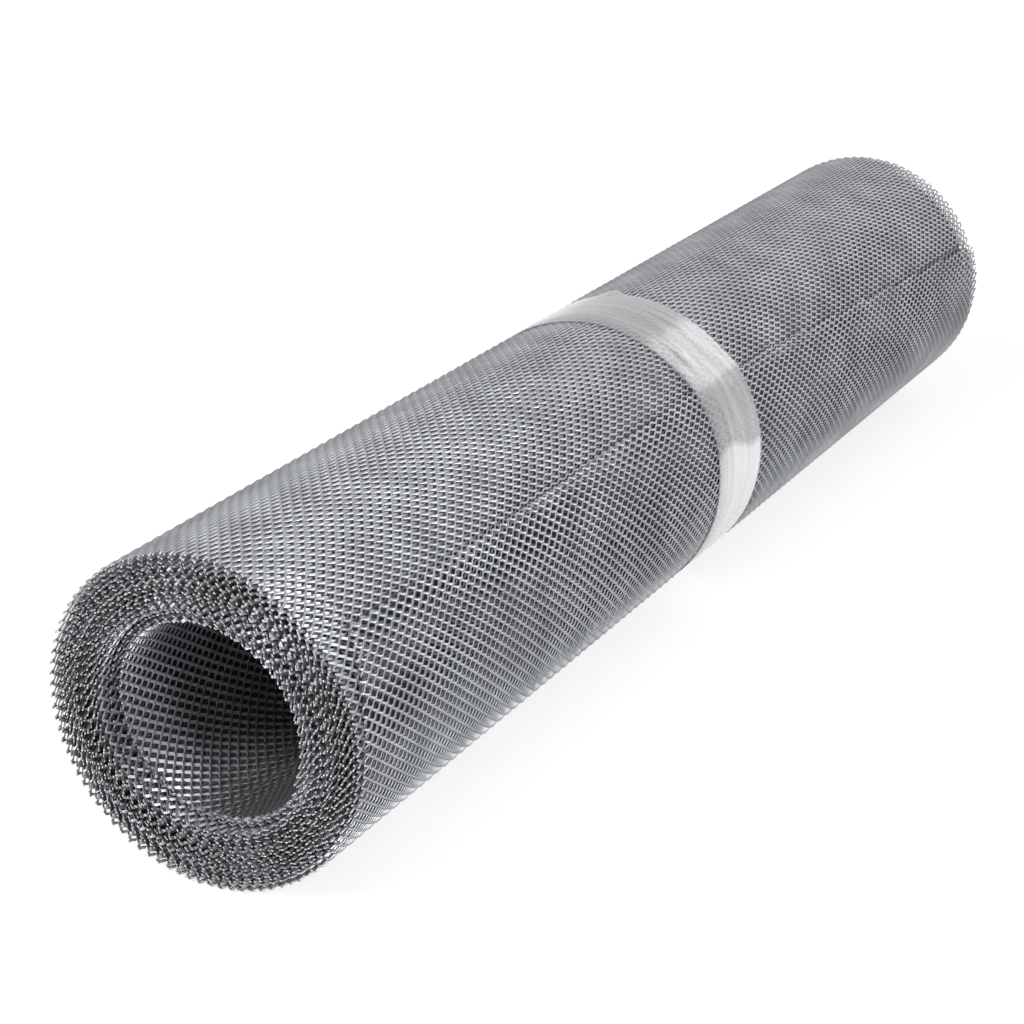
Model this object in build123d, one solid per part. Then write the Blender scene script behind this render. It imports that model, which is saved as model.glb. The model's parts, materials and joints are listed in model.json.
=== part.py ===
from build123d import *
from math import acos, cos, degrees, radians, sin
import os

# Roll of raised expanded metal mesh, wound as one sheet and held by a band of clear tape.
# All sizes are in millimetres. The roll lies on its side with its axis along X.
# +Z is up, the sheet's free edge faces -Y, and the origin is on the floor under the roll's middle.
# Angles are in degrees about the roll's axis, from the top towards -Y.

# The sheet and its winding
roll_length = 610.0
bore_radius = 33.0
turns = 15
sheet_depth = 1.2
turn_gap = 0.5
end_gap_depth = 3.0

# The sheet's free edge, which runs straight to the band and then slants to the far end
free_edge_angle = 52.7
far_slant_angle = 16.0
corner_setback = 14.5
corner_angle = 39.0

# The band of clear tape, whose inner face draws the wraps in by its own thickness
band_width = 47.0
band_thickness = 0.25
band_offset = -2.0

# Sizes that follow from the ones above
turn_pitch = sheet_depth + turn_gap
free_radius = bore_radius + turns * turn_pitch
near_end = -roll_length / 2
far_end = roll_length / 2
band_near = band_offset - band_width / 2
band_far = band_offset + band_width / 2

# How far a cutting tool reaches past the metal that it cuts
overcut = 2.0


def direction(angle):
    """Unit vector in the cross-section, whose first axis is Y and second is Z."""
    return Vector(-sin(radians(angle)), cos(radians(angle)))


def half_turn_centre(index):
    """The winding is half circles whose centres swap sides, so each is half a pitch smaller."""
    side = 1 if index % 2 == 0 else -1
    return direction(free_edge_angle) * (side * turn_pitch / 4)


def half_turn_radius(index):
    """Radius of a wrap's outer face, counted in half turns inwards from the free edge."""
    return free_radius - turn_pitch / 4 - index * turn_pitch / 2


def half_turn(index, outwards=0.0, sweep=180.0):
    """One half turn of the winding, as an arc that starts on the line of the free edge."""
    start = 90 + free_edge_angle + 180 * (index % 2)
    return CenterArc(half_turn_centre(index), half_turn_radius(index) + outwards, start, sweep)


def closed_face(edges):
    """Face in the roll's cross-section, bounded by the edges."""
    return Plane.YZ * make_face(edges)


def along_roll(face, start, end):
    """Straight piece with the face as its cross-section, between two places along the roll."""
    return Pos(start, 0, 0) * extrude(face, end - start, dir=(1, 0, 0))


def roll_section():
    """One turn of the winding's outside, closed by the step at the free edge, with the bore."""
    outer, inner = half_turn(0), half_turn(1)
    step = Line(inner @ 1, outer @ 0)
    return closed_face([outer, inner, step]) - Plane.YZ * Circle(bore_radius)


def gap_section():
    """The spiral gap between the wraps, from under the free edge to the innermost turn."""
    walls = range(2, 2 * (turns - 1))
    lower = [half_turn(index) for index in walls]
    upper = [half_turn(index, turn_gap) for index in walls]
    mouth = Line(lower[0] @ 0, upper[0] @ 0)
    blind = Line(lower[-1] @ 1, upper[-1] @ 1)
    return closed_face([*lower, *upper, mouth, blind])


def outer_wrap_section(sweep):
    """Sector of the outermost wrap and the gap under it, from the free edge round."""
    under = CenterArc(half_turn_centre(0), half_turn_radius(2), 90 + free_edge_angle, sweep)
    over = CenterArc(half_turn_centre(0), half_turn_radius(0) + overcut, 90 + free_edge_angle, sweep)
    return closed_face([under, over, Line(under @ 0, over @ 0), Line(under @ 1, over @ 1)])


def slanted_trim(start, end, sweep, narrow_end):
    """What is trimmed off the outermost wrap where its edge slants across the sweep."""
    middle = radians(90 + free_edge_angle + sweep / 2)
    outwards = Vector(0, cos(middle), sin(middle))
    plane = Plane(origin=(0, 0, 0), x_dir=(1, 0, 0), z_dir=outwards)
    reach = half_turn_radius(0) * sin(radians(sweep / 2))
    wide_end = start + end - narrow_end
    corners = [(wide_end, -reach), (wide_end, reach + overcut), (narrow_end, reach + overcut), (narrow_end, reach)]
    wedge = extrude(plane * make_face(Polyline(*corners, close=True)), free_radius + overcut)
    return along_roll(outer_wrap_section(sweep), start, end) & wedge


def band_section():
    """Ring of tape on the outermost wrap, which bridges the step at the free edge."""
    reach = half_turn_radius(0) + turn_pitch / 2
    bridge_angle = degrees(acos(half_turn_radius(1) / reach))
    outer, inner = half_turn(0), half_turn(1, sweep=180 - bridge_angle)
    outline = make_face([outer, inner, Line(inner @ 1, outer @ 0)])
    return Plane.YZ * (outline - offset(outline, -band_thickness))


def floor_shift():
    """Move from the winding's middle to the origin on the floor under it."""
    lowest = half_turn_centre(0).Y - half_turn_radius(0)
    sideways = (half_turn_radius(1) - half_turn_radius(0)) / 2
    return Pos(0, -sideways, -lowest)


def tape_band():
    """The band of tape, round the middle of the roll."""
    return along_roll(band_section(), band_near, band_far)


def mesh_roll():
    """The wound sheet: bored, with its wraps apart at both ends and its free edge trimmed."""
    roll = along_roll(roll_section(), near_end, far_end)
    gap = gap_section()
    roll -= along_roll(gap, near_end, near_end + end_gap_depth)
    roll -= along_roll(gap, far_end - end_gap_depth, far_end)
    roll -= slanted_trim(near_end, near_end + corner_setback, corner_angle, near_end + corner_setback)
    roll -= slanted_trim(band_far, far_end, far_slant_angle, band_far)
    return roll - tape_band()


os.makedirs("parts", exist_ok=True)
for name, make_piece in (("mesh_roll", mesh_roll), ("tape_band", tape_band)):
    piece = floor_shift() * make_piece()
    solid = piece.solids()[0]
    solid.label = name
    export_step(solid, f"parts/{name}.step")
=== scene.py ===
import json
import math

import bpy
import numpy as np
from mathutils import Matrix, Vector


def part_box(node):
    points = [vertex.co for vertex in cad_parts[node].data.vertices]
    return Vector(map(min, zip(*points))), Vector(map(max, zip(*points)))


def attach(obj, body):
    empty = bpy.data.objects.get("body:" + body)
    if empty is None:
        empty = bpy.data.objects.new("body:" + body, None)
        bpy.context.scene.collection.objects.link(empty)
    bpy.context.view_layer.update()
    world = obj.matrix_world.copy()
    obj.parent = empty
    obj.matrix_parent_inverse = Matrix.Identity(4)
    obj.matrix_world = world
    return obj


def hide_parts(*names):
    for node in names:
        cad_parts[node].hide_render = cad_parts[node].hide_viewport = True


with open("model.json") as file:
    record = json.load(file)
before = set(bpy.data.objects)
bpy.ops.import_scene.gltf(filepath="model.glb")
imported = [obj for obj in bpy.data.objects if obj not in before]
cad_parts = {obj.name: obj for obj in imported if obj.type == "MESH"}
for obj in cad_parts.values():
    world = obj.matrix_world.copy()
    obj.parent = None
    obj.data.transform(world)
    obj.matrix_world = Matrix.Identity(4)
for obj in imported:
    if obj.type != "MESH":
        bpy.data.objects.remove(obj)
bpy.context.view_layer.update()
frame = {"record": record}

roll_low, roll_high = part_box("mesh_roll")
tape_low, tape_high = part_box("tape_band")
bore = next(m for m in frame["record"]["mounts"] if m["name"] == "bore")

# The winding, in metres: its bore and its ends come from the frame, and its outside fits the part's
BORE_RADIUS = bore["dims"]["r_mm"] / 1000
OUTER_RADIUS = 0.058055
LAP_STEP = 0.0017
FREE_ANGLE = math.radians(52.7)
HALF_TURNS = 34
AXIS_Y, AXIS_Z = bore["pos_m"][1], bore["pos_m"][2]
NEAR, FAR = roll_low.x, roll_high.x

# The mesh: its long way runs along the roll, its short way round it
LONG_WAY = 0.00585
SHORT_WAY = 0.0040
STRAND = 0.00095
METAL = 0.00050
TILT = math.radians(-28)
BOND = 0.0012
DEPTH = 2 * STRAND * abs(math.sin(TILT)) + METAL * math.cos(TILT)
BORE_WIDENING = 1.25

# How close the rows of strands lie, as shares of the even spacing: closer at the loose end, wider inside
LOOSE_SPACING = 0.96
SPACING_GROWTH = 0.025
INNER_SPACING = 1.01

# The loose end of the sheet: it is skewed, its near corner is trimmed, and its free edge slants
SKEW_SHIFT = 0.0095
SKEW_LENGTH = 0.060
CORNER_CUT = 0.0050
CORNER_LENGTH = 0.026
FAR_SLANT = math.radians(16)

# How much the rows of the mesh drift along and round the roll
ROW_LEAN_OUTSIDE = 0.004
ROW_LEAN = 0.025
ROW_DRIFT = 0.0180
DRIFT_INSIDE = 0.0065
DRIFT_LENGTH = 0.11
DRIFT_START = 0.0050
LEAN_LENGTH = 0.30

# How far the cut ends of the strands are bent out of place, and how much the shears pinch them
END_BEND = 0.00040
END_PINCH = 0.82

# Shares of that bend for the two ends of each row: along the roll, round it, and inwards
BEND_SEED = 11
MOST_ROWS = 8000
BENDS = np.random.default_rng(BEND_SEED).uniform(0, 1, (6, MOST_ROWS))

# How far the mesh keeps off the bore's wall, and how far the inner turns sag off the roll's axis
BORE_SLACK = 0.0011
SAG_Y, SAG_Z = -0.0008, -0.0006

# How uneven the ends of the roll are
NEAR_INSET = 0.0011
FAR_INSET = 0.0013
END_TILT = 0.00155
END_TILT_ANGLE = math.radians(13)

# The innermost turns tilt further: how many, how far, which way, and the angle over which that sets in
INNER_TURNS = 2.6
INNER_TILT = 0.0035
INNER_TILT_ANGLE = math.radians(45)
INNER_ONSET = 2.0

# How the wraps wander along the roll, by the angle along the winding: two rates, and heights and phases
SLOW_RATE = 0.83
QUICK_RATE = 2.31
SHEET_WANDER = (0.0003, 1.1, 0.0002, 0.4)
WIDTH_WANDER = (0.0004, 2.2, 0.0003, 0.0)

# How far in the turns are meshed at each end, and how many of them, by the bore, have slid in
NEAR_BAND = 0.0075
FAR_BAND = 0.0045
SECOND_BAND = 0.020
BORE_MOUTH = 0.10
SLID_TURNS = 4

# How far the rounded bends of the mesh reach. That differs from row to row in shuffled steps
DETAIL_LENGTH = 0.21
DETAIL_STEPS = 8
DETAIL_STEP = 0.011
DETAIL_SHUFFLE = 5

# Bends that a strand has beyond each end of the roll, before it is cut
SPARE_BENDS = 8

# Places closer than this to a strand's cut end are left out of its line
CUT_MARGIN = 1e-5

# The ring for the hidden turns: how far it keeps from the outside, the bore's wall and the two ends
CORE_UNDER = 0.0042
CORE_OVER = 0.0024
CORE_NEAR = 0.012
CORE_FAR = 0.008
CORE_SEGMENTS = 128

# The tape: how far and how gently it draws the wraps in, and the grid that its film is made on
TAPE_DIP = 0.0004
DIP_SLOPE = 0.006
TAPE_ACROSS = 24
TAPE_ROUND = 360

# The tape's film: how thick it is, how far it lies off the wraps, and how far its edges keep in
FILM = 0.00014
FILM_LIFT = 0.00006
TAPE_EDGE = 0.0012

# Waves along the tape's two edges: their heights, and two rates and phases for each edge
EDGE_WAVE = 0.0005
EDGE_RIPPLE = 0.0003
NEAR_EDGE_WAVES = (3, 0.6, 11, 0.0)
FAR_EDGE_WAVES = (2, 2.0, 9, 1.2)

# Faint waves of the film: their heights, their rates along the roll, and how they bend on the way round
FILM_WAVE = 0.00003
FILM_WAVE_RATE = 1900
FILM_SWAY = 2
FILM_SWAY_RATE = 3
FILM_RIPPLE = 0.00002
FILM_RIPPLE_RATE = 4300
FILM_TWIST = 5

# Where the tape carries a painted sheen, a painted reflection of the floor on its lower side, as angles
# from the top, and how softly that starts and ends
SHEEN_FROM = 1.39
SHEEN_TO = 2.65
SHEEN_SOFT = 0.06

# A fold of the tape that stands out past its far edge, with its angles in degrees
FOLD_ANGLE = -10
FOLD_WIDTH = 5
FOLD_REACH = 0.006

# Wrinkles: place along the roll, degrees from the top, half-width, half-length in degrees, height
WRINKLES = (
    (-0.0110, 30, 0.0016, 14, 0.00030),
    (-0.0105, 39, 0.0040, 5, 0.00055),
    (-0.0200, 45, 0.0034, 5, 0.00060),
    (0.0050, 38, 0.0013, 13, 0.00030),
    (0.0100, 47, 0.0014, 10, 0.00035),
    (0.0165, 44, 0.0016, 14, 0.00040),
    (0.0056, 61, 0.0026, 3, 0.00050),
    (0.0230, -10, 0.0035, 4, 0.00060),
    (0.0020, 8, 0.0020, 16, 0.00025),
    (-0.0030, 120, 0.0020, 20, 0.00012),
    (0.0090, 175, 0.0024, 18, 0.00010),
    (-0.0140, 230, 0.0020, 15, 0.00030),
    (0.0060, 290, 0.0022, 18, 0.00028),
)

# Steel: how metallic it is, the tint of its mirror at low angles, and its fine scratches
METALLIC = 0.7
EDGE_TINT = (0.5, 0.5, 0.5, 1)
SCRATCH_SCALE = 900
LESS_ROUGH, MORE_ROUGH = 0.08, 0.12

# How sharply the clouds of the steel, which on the cut ends are painted glints and painted shade, and the
# strands of the deeper wraps, stand out
CLOUD_DARK, CLOUD_LIGHT = 0.3, 0.7
DEEP_STRAND, DEEP_OPENING = 0.25, 0.75

# Clear film: its colours where it is thin and where it is milky or carries the painted sheen, and its
# roughness by its streaks
FILM_THIN = (0.27, 0.277, 0.286)
FILM_MILKY_AND_SHEEN = (0.58, 0.589, 0.598)
FILM_SMOOTH, FILM_ROUGH = 0.16, 0.32
ROUGH_STREAKS = (0.2, 0.8)

# Its streaks along the roll, and the ragged start and end of the painted sheen
STREAK_RATE = 240
RAGGED_RATE = 130
RAGGED_REACH = 0.05

# How milky it is: by its streaks, by the painted sheen, and where it is seen at a low angle, which is
# partly real haze and partly a painted sheen
HAZE_STREAKS = (0.3, 0.7)
STREAK_HAZE = 0.3
SHEEN_HAZE = 0.55
LOW_ANGLE_HAZE_AND_SHEEN = 0.85
LOW_ANGLE_POWER = 2.2

# How much it hides, clear and milky or under the painted sheen, and where it fades at its two edges, as
# shares of its width
HIDES_CLEAR, HIDES_MILKY_AND_SHEEN = 0.34, 0.86
FADES_IN, FADES_OUT = 0.05, 0.94

# It has fewer turns along its near edge: the share that they hide, where that ends, and how it wavers
FEWER_HIDE = 0.55
FEWER_FROM, FEWER_TO = 0.08, 0.42
FEWER_WAVER = 0.10

# The floor: its size, how far it lies under the roll, its colour, and how white it shows, near and far
FLOOR_SIZE = 30
FLOOR_DROP = 0.0002
FLOOR_GREY = (0.45, 0.45, 0.45, 1)
GLOW_FROM, GLOW_TO = 0.5, 1.8
GLOW_NEAR, GLOW_FAR = 0.68, 1.0

# The surround: the soft light that it gives, and the white that is seen and mirrored
SOFT_COLOUR = (0.95, 0.97, 1.0, 1)
SOFT_STRENGTH = 0.30
WHITE_COLOUR = (1, 1, 1, 1)
WHITE_STRENGTH = 1.0

# Soft lights: name, place, what it faces, width, height and power in watts
LIGHTS = (
    ("top", (-0.2, -0.3, 2.0), (-0.05, 0, 0.05), 1.2, 1.2, 3),
    ("side", (-0.6, -1.7, 0.55), (-0.1, 0, 0.05), 1.2, 1.2, 42),
    ("far_end", (1.93, -0.47, 1.0), (0, 0, 0.05), 0.9, 1.0, 6.5),
    ("key", (-3.0, 1.2, 2.8), (0, 0, 0.05), 1.4, 1.4, 135),
)

# The photograph's view, measured with the outline of the roll
CAMERA_PLACE = Vector((-0.93849, -0.4255, 0.40659))
CAMERA_RIGHT = Vector((0.4477, -0.89419, 0.0))
CAMERA_FORWARD = Vector((0.83934, 0.42024, -0.34482))
CAMERA_LENS = 94.6
SENSOR = 36.0


def half_turns():
    """Radius of the sheet's middle in each half turn from the free edge inwards, and its centre's shift."""
    first = OUTER_RADIUS - DEPTH / 2
    second = first - LAP_STEP / 2
    step = (second - BORE_RADIUS - BORE_SLACK - DEPTH / 2) / (HALF_TURNS - 2)
    radii = np.concatenate([[first], second - step * np.arange(HALF_TURNS)])
    shifts = np.where(np.arange(HALF_TURNS + 1) % 2 == 0, step - LAP_STEP / 4, -LAP_STEP / 4)
    shifts[0] = LAP_STEP / 4
    return radii, shifts


RADII, SHIFTS = half_turns()
ARC_STARTS = np.concatenate([[0.0], np.cumsum(math.pi * RADII)])
SHEET_LENGTH = ARC_STARTS[HALF_TURNS]
ONE_TURN = ARC_STARTS[2]


def place(x, s, height):
    """Points in the frame for places on the sheet: along the roll, along the winding, above its middle."""
    k = np.clip(np.searchsorted(ARC_STARTS, s, side="right") - 1, 0, len(RADII) - 1)
    angle = FREE_ANGLE + math.pi * k + (s - ARC_STARTS[k]) / RADII[k]
    radius = RADII[k] + height
    inwards = np.clip(s / SHEET_LENGTH, 0, 1)
    y = AXIS_Y - SHIFTS[k] * math.sin(FREE_ANGLE) - radius * np.sin(angle) + SAG_Y * inwards
    z = AXIS_Z + SHIFTS[k] * math.cos(FREE_ANGLE) + radius * np.cos(angle) + SAG_Z * inwards
    return np.stack([x, y, z], axis=-1)


def winding_angle(s):
    """Angle along the winding from the free edge, growing inwards."""
    k = min(max(int(np.searchsorted(ARC_STARTS, s, side="right")) - 1, 0), len(RADII) - 1)
    return math.pi * k + (s - ARC_STARTS[k]) / RADII[k]


def row_place(row):
    """How far along the winding a row of strands is."""
    half = SHORT_WAY / 2
    rows_round = ONE_TURN / half
    first = min(row, rows_round)
    growth = SPACING_GROWTH * first * first / rows_round
    return half * (LOOSE_SPACING * first + growth + INNER_SPACING * (row - first))


def loose_skew(s):
    """How far the loose end of the sheet has slid towards the far end."""
    return SKEW_SHIFT * np.clip(1 - s / SKEW_LENGTH, 0, 1) ** 2


def wander(turn, slow, slow_phase, quick, quick_phase):
    """How far the wraps wander along the roll, at an angle along the winding."""
    slow_part = slow * math.sin(SLOW_RATE * turn + slow_phase)
    return slow_part + quick * math.sin(QUICK_RATE * turn + quick_phase)


def slip(s):
    """How far the sheet has slipped along the roll. The innermost turns sit further in."""
    turn = winding_angle(s)
    top = FREE_ANGLE + turn
    tilt = END_TILT * (1 - math.cos(top - END_TILT_ANGLE))
    last_turn = turn - (HALF_TURNS / 2 - INNER_TURNS) * 2 * math.pi
    if last_turn > 0:
        tilt += INNER_TILT * (1 - math.cos(top - INNER_TILT_ANGLE)) * min(1.0, last_turn / INNER_ONSET)
    return tilt + wander(turn, *SHEET_WANDER)


def row_drift(s):
    """How far a row's openings have moved along the roll, besides the sheet's own slip."""
    drift = ROW_DRIFT * min(s, DRIFT_LENGTH) + DRIFT_INSIDE * max(0.0, s - DRIFT_LENGTH)
    return (drift + DRIFT_START) % LONG_WAY


def bends(parity, rounded_to):
    """Bends of one zigzag strand along the whole roll: place along it, shift round the roll, and height."""
    shift = SHORT_WAY / 4 - STRAND / 2 * math.cos(TILT)
    lift = STRAND / 2 * math.sin(TILT)
    ps, ss, hs = [], [], []
    for i in range(-SPARE_BENDS, int((FAR - NEAR) / (LONG_WAY / 2)) + SPARE_BENDS):
        upper = (i + parity) % 2 == 0
        p = i * LONG_WAY / 2
        for end in ((-BOND / 2, BOND / 2) if p < rounded_to else (0.0,)):
            ps.append(p + end)
            ss.append(shift if upper else -shift)
            hs.append(-lift if upper else lift)
    return np.array(ps), np.array(ss), np.array(hs)


# The rounded bends reach to a different place on each row, so that no line shows where they stop
ROUNDED = [bends(step % 2, DETAIL_LENGTH - step * DETAIL_STEP) for step in range(DETAIL_STEPS)]
PLAIN = [bends(parity, -1) for parity in (0, 1)]

# Corners of a strand's section, by its width and its metal: all four, or three that keep one edge
WHOLE = np.array([(-1, -1), (-1, 1), (1, 1), (1, -1)], float)
OUTER_EDGE = np.array([(-1, -1), (-1, 1), (1, 0)], float)
INNER_EDGE = np.array([(-1, 0), (1, 1), (1, -1)], float)
WIDTH_STEP = np.array([math.cos(TILT), math.sin(TILT)]) * STRAND / 2
METAL_STEP = np.array([-math.sin(TILT), math.cos(TILT)]) * METAL / 2


def strand_line(row, rounded):
    """One whole strand of the sheet: places along the roll and along the winding, and heights."""
    ps, ss, hs = ROUNDED[row * DETAIL_SHUFFLE % DETAIL_STEPS] if rounded else PLAIN[row % 2]
    middle = row_place(row)
    lean = ROW_LEAN_OUTSIDE + (ROW_LEAN - ROW_LEAN_OUTSIDE) * min(1.0, middle / LEAN_LENGTH)
    drift = row_drift(middle) + slip(middle)
    xs = NEAR + ps + loose_skew(middle + ss) + ROW_DRIFT * ss + drift
    return xs, middle + ss + lean * (xs - NEAR), hs


def cut_strand(row, start, end, rounded):
    """The line of one strand between two cuts along the roll, with its ends bent by the shears."""
    xs, ss, hs = strand_line(row, rounded)
    inside = xs[(xs > start + CUT_MARGIN) & (xs < end - CUT_MARGIN)]
    x = np.concatenate([[start], inside, [end]])
    s = np.interp(x, xs, ss)
    h = np.interp(x, xs, hs)
    bend = END_BEND * BENDS[:, row]
    x[[0, -1]] += -bend[0], bend[1]
    s[[0, -1]] += bend[2] - END_BEND / 2, bend[3] - END_BEND / 2
    h[[0, -1]] -= bend[4], bend[5]
    return x, s, h


def add_object(name, data):
    """A mesh, light or camera as an object in the scene."""
    obj = bpy.data.objects.new(name, data)
    bpy.context.scene.collection.objects.link(obj)
    return obj


class Strands:
    """Collects zigzag strands of the sheet and makes one mesh of them.

    Soft strands look worn round along their edges, and the others have flat faces.
    """

    def __init__(self, section=WHOLE, widening=1.0, soft=False):
        self.section = section * np.array([widening, 1.0])
        self.soft = soft
        self.points, self.faces, self.caps = [], [], []
        self.count = 0

    def add(self, row, start, end, rounded=True):
        """One strand of the sheet, from one place along the roll to another."""
        if end - start < STRAND:
            return
        x, s, h = cut_strand(row, start, end, rounded)
        self.add_corners(x, s, h)
        self.add_faces(len(x))

    def add_corners(self, x, s, h):
        """Corners of the section at each place along a strand, pinched at its two ends."""
        pinch = np.ones(len(x))
        pinch[[0, -1]] = END_PINCH
        offsets = self.section[:, :1] * WIDTH_STEP + self.section[:, 1:] * METAL_STEP
        corner_x = np.repeat(x, len(self.section))
        corner_s = (s[:, None] + pinch[:, None] * offsets[None, :, 0]).ravel()
        corner_h = (h[:, None] + pinch[:, None] * offsets[None, :, 1]).ravel()
        self.points.append(np.stack([corner_x, corner_s, corner_h], axis=1))

    def add_faces(self, length):
        """Faces along a strand with so many places, and a cap on each of its ends."""
        sides = len(self.section)
        ring = np.arange(length - 1)[:, None] * sides
        side = np.arange(sides)[None, :]
        after = (side + 1) % sides
        quads = np.stack([ring + side, ring + after, ring + sides + after, ring + sides + side], axis=2)
        self.faces.append(quads.reshape(-1, 4) + self.count)
        corners = np.arange(sides) + self.count
        self.caps.append(np.stack([corners[::-1], corners + (length - 1) * sides]))
        self.count += sides * length

    def build(self, name):
        """The piece: strands in the first material, and their cut ends in the second."""
        sheet = np.concatenate(self.points)
        dip = TAPE_DIP * tape_cover(sheet[:, 0])
        points = place(sheet[:, 0], sheet[:, 1], sheet[:, 2] - dip)
        sides, caps = np.concatenate(self.faces), np.concatenate(self.caps)
        counts = [len(sides), len(caps)]
        corners = np.concatenate([sides.ravel(), caps.ravel()])
        mesh = polygon_mesh(name, points, corners, np.repeat([4, caps.shape[1]], counts))
        kinds = np.repeat([0, 1], counts)
        mesh.polygons.foreach_set("material_index", kinds.astype(np.int32))
        mesh.polygons.foreach_set("use_smooth", (kinds == 0) & self.soft)
        mesh.update(calc_edges=True)
        mesh.validate()
        self.keep_bends_crisp(mesh)
        return add_object(name, mesh)

    def keep_bends_crisp(self, mesh):
        """Sharp edges across the strands. An edge along one joins corners a whole section apart."""
        ends = np.empty(2 * len(mesh.edges), np.int32)
        mesh.edges.foreach_get("vertices", ends)
        across = np.abs(ends[0::2] - ends[1::2]) != len(self.section)
        mesh.attributes.new("sharp_edge", "BOOLEAN", "EDGE").data.foreach_set("value", across)


def polygon_mesh(name, points, corners, sizes):
    """Mesh with these points, and faces that take so many corners each from the list."""
    mesh = bpy.data.meshes.new(name)
    mesh.vertices.add(len(points))
    mesh.vertices.foreach_set("co", points.astype(np.float32).ravel())
    mesh.loops.add(len(corners))
    mesh.loops.foreach_set("vertex_index", corners.astype(np.int32))
    mesh.polygons.add(len(sizes))
    mesh.polygons.foreach_set("loop_start", (np.cumsum(sizes) - sizes).astype(np.int32))
    mesh.polygons.foreach_set("loop_total", sizes.astype(np.int32))
    return mesh


def tape_cover(x):
    """One under the band of tape and zero away from it, with a soft step at its edges."""
    near = np.clip((x - tape_low.x + DIP_SLOPE) / DIP_SLOPE, 0, 1)
    far = np.clip((tape_high.x + DIP_SLOPE - x) / DIP_SLOPE, 0, 1)
    rise = near * far
    return rise * rise * (3 - 2 * rise)


def near_edge(s):
    """Where the sheet's near edge lies along the roll, at a length s from the free edge."""
    corner = CORNER_CUT * max(0.0, 1 - s / CORNER_LENGTH)
    return NEAR + NEAR_INSET + corner + float(loose_skew(s)) + slip(s)


def far_edge(s):
    """Where the sheet's far edge lies along the roll, at a length s from the free edge."""
    return FAR - FAR_INSET + wander(winding_angle(s), *WIDTH_WANDER)


def slanted_end(s):
    """Where the outermost wrap ends along the roll, as its free edge slants past the tape."""
    turn = winding_angle(s)
    if turn >= FAR_SLANT:
        return FAR
    return tape_high.x + (FAR - tape_high.x) * turn / FAR_SLANT


def row_after(length):
    """The first row that is further along the winding than a length."""
    row = int(length / (SHORT_WAY / 2))
    while row_place(row) < length:
        row += 1
    return row


# The first rows of the second wrap, of the turns under it, of the slid turns and of the bore's wrap
SECOND_FROM = row_after(ONE_TURN)
TURNS_FROM = row_after(ARC_STARTS[4])
SLID_FROM = row_after(ARC_STARTS[HALF_TURNS - 2 * SLID_TURNS])
BORE_FROM = row_after(ARC_STARTS[HALF_TURNS - 2])
ROWS = row_after(SHEET_LENGTH)


def outer_wrap(name, first, last):
    """Some rows of the outermost wrap, which run the whole length of the roll."""
    strands = Strands(soft=True)
    for row in range(first, last):
        s = row_place(row)
        strands.add(row, near_edge(s), min(far_edge(s), slanted_end(s)))
    return strands.build(name)


def second_wrap(name, first, last):
    """Some rows of the wrap under the outermost one, past the stretch that shows at the near end."""
    strands = Strands(OUTER_EDGE)
    for row in range(first, last):
        s = row_place(row)
        strands.add(row, near_edge(s) + SECOND_BAND, far_edge(s), rounded=False)
    return strands.build(name)


def near_turns(name, band, first, last):
    """The near edge of some turns, as far in as the band is wide."""
    strands = Strands()
    for row in range(first, last):
        edge = near_edge(row_place(row))
        strands.add(row, edge, edge + band)
    return strands.build(name)


def far_turns():
    """The far edge of the turns between the second wrap and the bore's."""
    strands = Strands()
    for row in range(TURNS_FROM, BORE_FROM):
        edge = far_edge(row_place(row))
        strands.add(row, edge - FAR_BAND, edge)
    return strands.build("far_turns")


def bore_wrap(name, section, start, end, rounded):
    """Part of the innermost wrap, which lines the bore, between two distances from its near edge."""
    strands = Strands(section, BORE_WIDENING)
    for row in range(BORE_FROM, ROWS):
        s = row_place(row)
        strands.add(row, near_edge(s) + start, min(near_edge(s) + end, far_edge(s)), rounded)
    return strands.build(name)


def strand_pieces():
    """The mesh that shows: the two outermost wraps, the edges of the turns, and the bore's wrap."""
    third = SECOND_FROM // 3 + 1
    middle = (SECOND_FROM + TURNS_FROM) // 2
    return [
        outer_wrap("outer_wrap_1", 0, third),
        outer_wrap("outer_wrap_2", third, 2 * third),
        outer_wrap("outer_wrap_3", 2 * third, SECOND_FROM),
        second_wrap("second_wrap_1", SECOND_FROM, middle),
        second_wrap("second_wrap_2", middle, TURNS_FROM),
        near_turns("second_edge", SECOND_BAND, SECOND_FROM, TURNS_FROM),
        near_turns("near_turns", NEAR_BAND, TURNS_FROM, SLID_FROM),
        near_turns("near_slid", NEAR_BAND, SLID_FROM, BORE_FROM),
        far_turns(),
        bore_wrap("bore_mouth", WHOLE, 0.0, BORE_MOUTH, rounded=True),
        bore_wrap("bore_wrap", INNER_EDGE, BORE_MOUTH, FAR - NEAR, rounded=False),
    ]


def round_roll(x, radius, angle):
    """Point at a place along the roll, a distance from its axis and an angle from the top."""
    return x, AXIS_Y - radius * math.sin(angle), AXIS_Z + radius * math.cos(angle)


def hidden_turns():
    """The turns that only show as darkness through the mesh, as one ring with its bore's face apart."""
    outer, inner = OUTER_RADIUS - CORE_UNDER, BORE_RADIUS + CORE_OVER
    near, far = NEAR + CORE_NEAR, FAR - CORE_FAR
    profile = [(near, inner), (near, outer), (far, outer), (far, inner)]
    points, faces = [], []
    for i in range(CORE_SEGMENTS):
        points += [round_roll(x, radius, 2 * math.pi * i / CORE_SEGMENTS) for x, radius in profile]
        here, there = 4 * i, 4 * ((i + 1) % CORE_SEGMENTS)
        for j, after in ((0, 1), (1, 2), (2, 3), (3, 0)):
            faces.append((here + j, there + j, there + after, here + after))
    mesh = bpy.data.meshes.new("hidden_turns")
    mesh.from_pydata(points, [], faces)
    mesh.polygons.foreach_set("material_index", [0, 0, 0, 1] * CORE_SEGMENTS)
    mesh.update()
    return add_object("hidden_turns", mesh)


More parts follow.
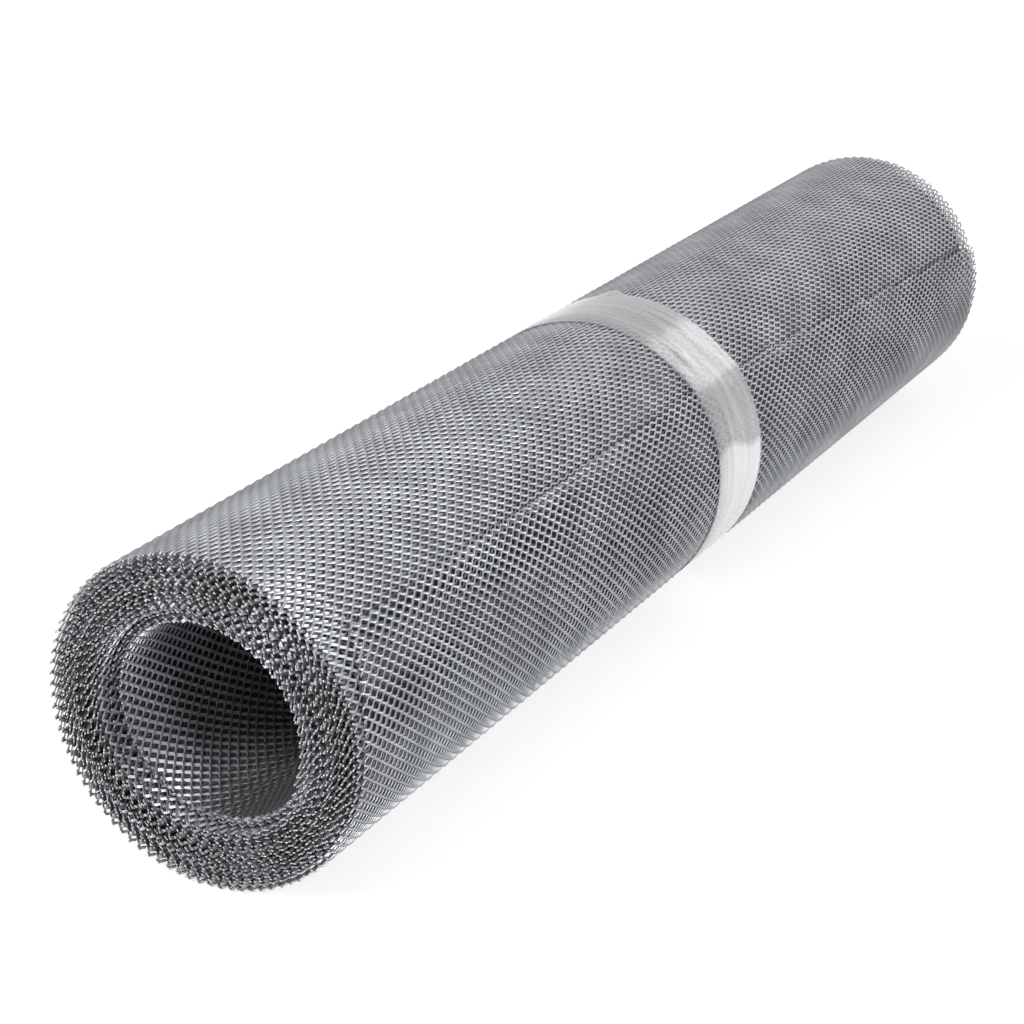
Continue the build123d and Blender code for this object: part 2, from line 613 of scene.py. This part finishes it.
def wrap_surface(angle):
    """Distance from the roll's axis to the outside of the wraps, at an angle from the top."""
    turn = (angle - FREE_ANGLE) % (2 * math.pi)
    first = OUTER_RADIUS + LAP_STEP / 4 * math.cos(turn)
    second = OUTER_RADIUS - LAP_STEP / 2 - LAP_STEP / 4 * math.cos(turn)
    return first if turn < math.pi else second


def degrees_past(angle, middle):
    """Degrees from one angle round to another, the shorter way. The first is in radians."""
    return (math.degrees(angle) - middle + 180) % 360 - 180


def bump(middle, half_width, half_length, height, x, away):
    """Height of a smooth bump at a place along the roll and a number of degrees away from its middle."""
    return height * math.exp(-((x - middle) / half_width) ** 2 - (away / half_length) ** 2)


def film_radius(x, angle):
    """Radius of the tape's outside. Just before the sheet's free edge, the film bridges the step."""
    low = OUTER_RADIUS - 3 * LAP_STEP / 4
    high = OUTER_RADIUS + LAP_STEP / 4
    bridge = math.acos(low / high)
    before = (FREE_ANGLE - angle) % (2 * math.pi)
    radius = low / math.cos(bridge - before) if before < bridge else wrap_surface(angle)
    bumps = 0.0
    for middle, top, half_width, half_length, height in WRINKLES:
        bumps += bump(middle, half_width, half_length, height, x, degrees_past(angle, top))
    wave = FILM_WAVE * math.sin(x * FILM_WAVE_RATE + FILM_SWAY * math.sin(FILM_SWAY_RATE * angle))
    ripple = FILM_RIPPLE * math.sin(x * FILM_RIPPLE_RATE + FILM_TWIST * angle)
    return radius - TAPE_DIP + FILM_LIFT + FILM + bumps + wave + ripple


def edge_wave(angle, rate, phase, quick_rate, quick_phase):
    """How far an edge of the tape waves along the roll, at an angle from the top."""
    slow = EDGE_WAVE * math.sin(rate * angle + phase)
    return slow + EDGE_RIPPLE * math.sin(quick_rate * angle + quick_phase)


def tape_ends(angle):
    """Where the tape's two edges lie along the roll."""
    near = tape_low.x + TAPE_EDGE + edge_wave(angle, *NEAR_EDGE_WAVES)
    far = tape_high.x - TAPE_EDGE + edge_wave(angle, *FAR_EDGE_WAVES)
    far += FOLD_REACH * math.exp(-(degrees_past(angle, FOLD_ANGLE) / FOLD_WIDTH) ** 2)
    return near, far


def tape_section(angle):
    """Points of the film at an angle: its outside from edge to edge, and then its inside."""
    near, far = tape_ends(angle)
    points = []
    for under in (0, FILM):
        for j in range(TAPE_ACROSS + 1):
            x = near + (far - near) * j / TAPE_ACROSS
            points.append(round_roll(x, film_radius(x, angle) - under, angle))
    return points


def tape_film():
    """The tape as a closed film: its outside, its inside and its two edges."""
    columns = TAPE_ACROSS + 1
    outline = [*range(columns), *range(2 * columns - 1, columns - 1, -1)]
    points, faces = [], []
    for i in range(TAPE_ROUND):
        points += tape_section(2 * math.pi * i / TAPE_ROUND)
        here, there = 2 * columns * i, 2 * columns * ((i + 1) % TAPE_ROUND)
        for a, b in zip(outline, outline[1:] + outline[:1]):
            faces.append((here + a, there + a, there + b, here + b))
    across = [j / TAPE_ACROSS for j in range(columns)] * (2 * TAPE_ROUND)
    mesh = bpy.data.meshes.new("tape_film")
    mesh.from_pydata(points, [], faces)
    mesh.polygons.foreach_set("use_smooth", [True] * len(faces))
    mesh.attributes.new("across", "FLOAT", "POINT").data.foreach_set("value", across)
    mesh.update()
    return add_object("tape_film", mesh)


def new_material(name):
    """A material, its nodes, its links and its shader."""
    material = bpy.data.materials.new(name)
    material.use_nodes = True
    nodes = material.node_tree.nodes
    return material, nodes, material.node_tree.links, nodes["Principled BSDF"]


def math_node(nodes, links, operation, *values):
    """A Math node with its inputs set to numbers or linked to sockets."""
    node = nodes.new("ShaderNodeMath")
    node.operation = operation
    for socket, value in zip(node.inputs, values):
        if isinstance(value, (int, float)):
            socket.default_value = value
        else:
            links.new(value, socket)
    return node.outputs[0]


def map_range(nodes, links, value, from_min, from_max, to_min, to_max):
    """A value brought from one range to another, and kept inside it."""
    node = nodes.new("ShaderNodeMapRange")
    node.inputs["From Min"].default_value = from_min
    node.inputs["From Max"].default_value = from_max
    node.inputs["To Min"].default_value = to_min
    node.inputs["To Max"].default_value = to_max
    links.new(value, node.inputs["Value"])
    return node.outputs["Result"]


def between(nodes, links, value, rise_from, rise_to, fall_from, fall_to):
    """One between two places and zero outside them, with a soft rise and fall."""
    rise = map_range(nodes, links, value, rise_from, rise_to, 0, 1)
    fall = map_range(nodes, links, value, fall_from, fall_to, 1, 0)
    return math_node(nodes, links, "MULTIPLY", rise, fall)


def noise(nodes, links, place_on, scale, detail):
    """A Noise Texture node, in the coordinates of a socket."""
    node = nodes.new("ShaderNodeTexNoise")
    node.inputs["Scale"].default_value = scale
    node.inputs["Detail"].default_value = detail
    links.new(place_on, node.inputs["Vector"])
    return node


def colour_ramp(nodes, links, value, first, second, first_at=0.0, second_at=1.0):
    """A colour that goes from one to another by a value."""
    ramp = nodes.new("ShaderNodeValToRGB")
    start, end = ramp.color_ramp.elements
    start.position, end.position = first_at, second_at
    start.color, end.color = (*first, 1), (*second, 1)
    links.new(value, ramp.inputs["Fac"])
    return ramp.outputs["Color"]


def object_coordinates(nodes):
    """The place of the point that is shaded, in metres."""
    return nodes.new("ShaderNodeTexCoord").outputs["Object"]


def roll_coordinates(nodes, links):
    """Place along the roll and angle round it, of the point that is shaded."""
    split = nodes.new("ShaderNodeSeparateXYZ")
    links.new(object_coordinates(nodes), split.inputs[0])
    side = math_node(nodes, links, "SUBTRACT", AXIS_Y, split.outputs["Y"])
    rise = math_node(nodes, links, "SUBTRACT", split.outputs["Z"], AXIS_Z)
    return split.outputs["X"], math_node(nodes, links, "ARCTAN2", side, rise)


def metal_material(name, dark, light, roughness, scale):
    """Galvanised steel, cloudy at one scale and finely scratched. On the cut ends the clouds are fine dark
    and bright dots, painted glints and painted shade.
    """
    material, nodes, links, shader = new_material(name)
    shader.inputs["Metallic"].default_value = METALLIC
    shader.inputs["Specular Tint"].default_value = EDGE_TINT
    place_on = object_coordinates(nodes)
    clouds_and_glints = noise(nodes, links, place_on, scale, detail=4).outputs["Fac"]
    colour = colour_ramp(nodes, links, clouds_and_glints, dark, light, CLOUD_DARK, CLOUD_LIGHT)
    links.new(colour, shader.inputs["Base Color"])
    scratches = noise(nodes, links, place_on, SCRATCH_SCALE, detail=3).outputs["Fac"]
    rough = map_range(nodes, links, scratches, 0, 1, roughness - LESS_ROUGH, roughness + MORE_ROUGH)
    links.new(rough, shader.inputs["Roughness"])
    return material


def deep_material(name, strand, opening):
    """Deeper wraps, seen through the openings: a lattice of strands in shadow."""
    material, nodes, links, shader = new_material(name)
    x, angle = roll_coordinates(nodes, links)
    along = math_node(nodes, links, "SINE", math_node(nodes, links, "MULTIPLY", x, 2 * math.pi / LONG_WAY))
    rows = round(2 * math.pi * OUTER_RADIUS / SHORT_WAY)
    around = math_node(nodes, links, "SINE", math_node(nodes, links, "MULTIPLY", angle, rows))
    cells = math_node(nodes, links, "ABSOLUTE", math_node(nodes, links, "ADD", along, around))
    colour = colour_ramp(nodes, links, cells, strand, opening, DEEP_STRAND, DEEP_OPENING)
    links.new(colour, shader.inputs["Base Color"])
    shader.inputs["Roughness"].default_value = 0.6
    return material


def tape_streaks(nodes, links, x, angle):
    """Streaks that run round the roll, as the film was drawn tight."""
    place_on = nodes.new("ShaderNodeCombineXYZ")
    links.new(math_node(nodes, links, "MULTIPLY", x, STREAK_RATE), place_on.inputs["X"])
    links.new(math_node(nodes, links, "SINE", angle), place_on.inputs["Y"])
    links.new(math_node(nodes, links, "COSINE", angle), place_on.inputs["Z"])
    streaks = noise(nodes, links, place_on.outputs[0], scale=1.0, detail=2)
    streaks.inputs["Roughness"].default_value = 0.45
    return streaks.outputs["Fac"]


def tape_painted_sheen(nodes, links, x, angle):
    """One on a band of the tape's lower side, where a painted sheen stands for the floor's reflection, with
    a ragged start and end.
    """
    wave = math_node(nodes, links, "SINE", math_node(nodes, links, "MULTIPLY", x, RAGGED_RATE))
    ragged = math_node(nodes, links, "MULTIPLY_ADD", wave, -RAGGED_REACH, angle)
    starts = (SHEEN_FROM, SHEEN_FROM + SHEEN_SOFT)
    stops = (SHEEN_TO, SHEEN_TO + SHEEN_SOFT)
    return between(nodes, links, ragged, *starts, *stops)


def tape_haze_and_sheen(nodes, links, sheen, streaks):
    """How milky the film is: by its streaks, by the painted sheen, and how low an angle it is seen at,
    which is partly real haze and partly a painted sheen.
    """
    weight = nodes.new("ShaderNodeLayerWeight")
    weight.inputs["Blend"].default_value = 0.35
    low_angle = math_node(nodes, links, "POWER", weight.outputs["Facing"], LOW_ANGLE_POWER)
    haze_and_sheen = map_range(nodes, links, streaks, *HAZE_STREAKS, 0, STREAK_HAZE)
    # Painted sheen: a whiter, more opaque band stands for the floor's reflection on the tape's lower side
    haze_and_sheen = math_node(nodes, links, "MULTIPLY_ADD", sheen, SHEEN_HAZE, haze_and_sheen)
    # Low-angle haze: partly the film's real haze, partly a painted sheen of the white surroundings
    return math_node(nodes, links, "MULTIPLY_ADD", low_angle, LOW_ANGLE_HAZE_AND_SHEEN, haze_and_sheen)


def tape_opacity(nodes, links, haze_and_sheen, streaks):
    """How much the film hides: its edges fade out, and near its near edge it has fewer turns."""
    across = nodes.new("ShaderNodeAttribute")
    across.attribute_name = "across"
    edges = between(nodes, links, across.outputs["Fac"], 0, FADES_IN, FADES_OUT, 1)
    wavering = math_node(nodes, links, "MULTIPLY_ADD", streaks, FEWER_WAVER, across.outputs["Fac"])
    turns = map_range(nodes, links, wavering, FEWER_FROM, FEWER_TO, FEWER_HIDE, 1)
    cover = map_range(nodes, links, haze_and_sheen, 0, 1, HIDES_CLEAR, HIDES_MILKY_AND_SHEEN)
    cover = math_node(nodes, links, "MULTIPLY", cover, turns)
    return math_node(nodes, links, "MULTIPLY", cover, edges)


def tape_relief(nodes, links, streaks):
    """The streaks as fine relief in the film's surface."""
    relief = nodes.new("ShaderNodeBump")
    relief.inputs["Strength"].default_value = 0.14
    relief.inputs["Distance"].default_value = 0.0005
    links.new(streaks, relief.inputs["Height"])
    return relief.outputs["Normal"]


def tape_material():
    """Clear film: streaky, with a painted sheen for the floor's reflection on its lower side, and hazy
    where it is seen at a low angle, partly as a painted sheen.
    """
    material, nodes, links, shader = new_material("clear_film")
    x, angle = roll_coordinates(nodes, links)
    streaks = tape_streaks(nodes, links, x, angle)
    haze_and_sheen = tape_haze_and_sheen(nodes, links, tape_painted_sheen(nodes, links, x, angle), streaks)
    links.new(tape_opacity(nodes, links, haze_and_sheen, streaks), shader.inputs["Alpha"])
    links.new(colour_ramp(nodes, links, haze_and_sheen, FILM_THIN, FILM_MILKY_AND_SHEEN), shader.inputs["Base Color"])
    rough = map_range(nodes, links, streaks, *ROUGH_STREAKS, FILM_SMOOTH, FILM_ROUGH)
    links.new(rough, shader.inputs["Roughness"])
    links.new(tape_relief(nodes, links, streaks), shader.inputs["Normal"])
    shader.inputs["IOR"].default_value = 1.48
    shader.inputs["Specular IOR Level"].default_value = 0.9
    shader.inputs["Coat Weight"].default_value = 0.8
    shader.inputs["Coat Roughness"].default_value = 0.15
    return material


def seen_rays(nodes, links):
    """One for rays from the camera, mirror rays and rays through clear film, and zero for the rest."""
    path = nodes.new("ShaderNodeLightPath").outputs
    mirrored = math_node(nodes, links, "MAXIMUM", path["Is Camera Ray"], path["Is Glossy Ray"])
    return math_node(nodes, links, "MAXIMUM", mirrored, path["Is Transmission Ray"])


def floor_material():
    """Grey that shows as white where it is seen, and keeps the object's shadow."""
    material, nodes, links, shader = new_material("floor")
    shader.inputs["Base Color"].default_value = FLOOR_GREY
    shader.inputs["Roughness"].default_value = 0.9
    shader.inputs["Specular IOR Level"].default_value = 0.0
    away = nodes.new("ShaderNodeVectorMath")
    away.operation = "LENGTH"
    links.new(object_coordinates(nodes), away.inputs[0])
    white = map_range(nodes, links, away.outputs["Value"], GLOW_FROM, GLOW_TO, GLOW_NEAR, GLOW_FAR)
    glow = math_node(nodes, links, "MULTIPLY", seen_rays(nodes, links), white)
    shader.inputs["Emission Color"].default_value = WHITE_COLOUR
    links.new(glow, shader.inputs["Emission Strength"])
    return material


def add_floor():
    """The floor under the roll."""
    bpy.ops.mesh.primitive_plane_add(size=FLOOR_SIZE, location=(0, 0, -FLOOR_DROP))
    floor = bpy.context.object
    floor.name = "floor"
    floor.data.materials.append(floor_material())


def add_surround():
    """Soft light from all round, which is seen and mirrored as white."""
    world = bpy.data.worlds.new("studio")
    bpy.context.scene.world = world
    world.use_nodes = True
    nodes, links = world.node_tree.nodes, world.node_tree.links
    soft = nodes["Background"]
    soft.inputs["Color"].default_value = SOFT_COLOUR
    soft.inputs["Strength"].default_value = SOFT_STRENGTH
    white = nodes.new("ShaderNodeBackground")
    white.inputs["Color"].default_value = WHITE_COLOUR
    white.inputs["Strength"].default_value = WHITE_STRENGTH
    mix = nodes.new("ShaderNodeMixShader")
    links.new(seen_rays(nodes, links), mix.inputs["Fac"])
    links.new(soft.outputs[0], mix.inputs[1])
    links.new(white.outputs[0], mix.inputs[2])
    links.new(mix.outputs[0], nodes["World Output"].inputs["Surface"])


def add_light(name, place_at, target, width, height, power):
    """A soft light that faces a place."""
    data = bpy.data.lights.new(name, "AREA")
    data.shape = "RECTANGLE"
    data.size = width
    data.size_y = height
    data.energy = power
    light = add_object(name, data)
    light.location = place_at
    light.rotation_mode = "QUATERNION"
    light.rotation_quaternion = (Vector(target) - Vector(place_at)).to_track_quat("-Z", "Y")


def add_camera():
    """The camera at the photograph's place and angle."""
    data = bpy.data.cameras.new("camera")
    data.lens = CAMERA_LENS
    data.sensor_width = SENSOR
    data.clip_start, data.clip_end = 0.01, 100
    camera = add_object("camera", data)
    forward = CAMERA_FORWARD.normalized()
    right = CAMERA_RIGHT.normalized()
    up = right.cross(forward)
    camera.rotation_mode = "QUATERNION"
    camera.rotation_quaternion = Matrix((right, up, -forward)).transposed().to_quaternion()
    camera.location = CAMERA_PLACE
    bpy.context.scene.camera = camera


# Steel of the strands by where they lie, as lit and shaded copies of one steel: bare; under the outermost
# wrap and deeper, darker as painted shade; in the bore, lighter as painted light; and cut, with fine
# painted glints and painted shade
STEEL = metal_material("steel_strands", (0.30, 0.308, 0.323), (0.42, 0.431, 0.451), 0.42, 60)
# Under the outermost wrap: a slightly darker copy of the steel, painted shade
UNDER_SHADED = metal_material("steel_under_painted_shade", (0.28, 0.287, 0.30), (0.40, 0.41, 0.428), 0.42, 60)
# Between the turns: a much darker copy of the steel, painted shade
SHADED = metal_material("steel_between_painted_shade", (0.19, 0.195, 0.205), (0.35, 0.359, 0.376), 0.42, 60)
# In the bore: a lighter copy of the steel, painted light
LINING_LIT = metal_material("steel_lining_painted_light", (0.44, 0.45, 0.473), (0.59, 0.605, 0.633), 0.38, 60)
# Cut ends: fine dark and bright dots are painted glints and painted shade on the sheared faces
CUT_GLINTS = metal_material("cut_ends_painted_glints", (0.03, 0.031, 0.032), (0.96, 0.97, 0.98), 0.36, 1500)
METALS = {
    "second_wrap_1": UNDER_SHADED,
    "second_wrap_2": UNDER_SHADED,
    "near_turns": SHADED,
    "far_turns": SHADED,
    "bore_mouth": LINING_LIT,
    "bore_wrap": LINING_LIT,
}

pieces = strand_pieces()
for piece in pieces:
    piece.data.materials.append(METALS.get(piece.name, STEEL))
    piece.data.materials.append(CUT_GLINTS)
core = hidden_turns()
core.data.materials.append(deep_material("deep_mesh", (0.16, 0.165, 0.17), (0.012, 0.013, 0.014)))
core.data.materials.append(deep_material("deep_bore", (0.10, 0.102, 0.106), (0.03, 0.031, 0.032)))
pieces.append(core)
for piece in pieces:
    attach(piece, "root")
    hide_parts("mesh_roll")

tape = tape_film()
tape.data.materials.append(tape_material())
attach(tape, "root")
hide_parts("tape_band")

add_floor()
add_surround()
for light in LIGHTS:
    add_light(*light)
add_camera()
bpy.context.scene.view_settings.view_transform = "Standard"
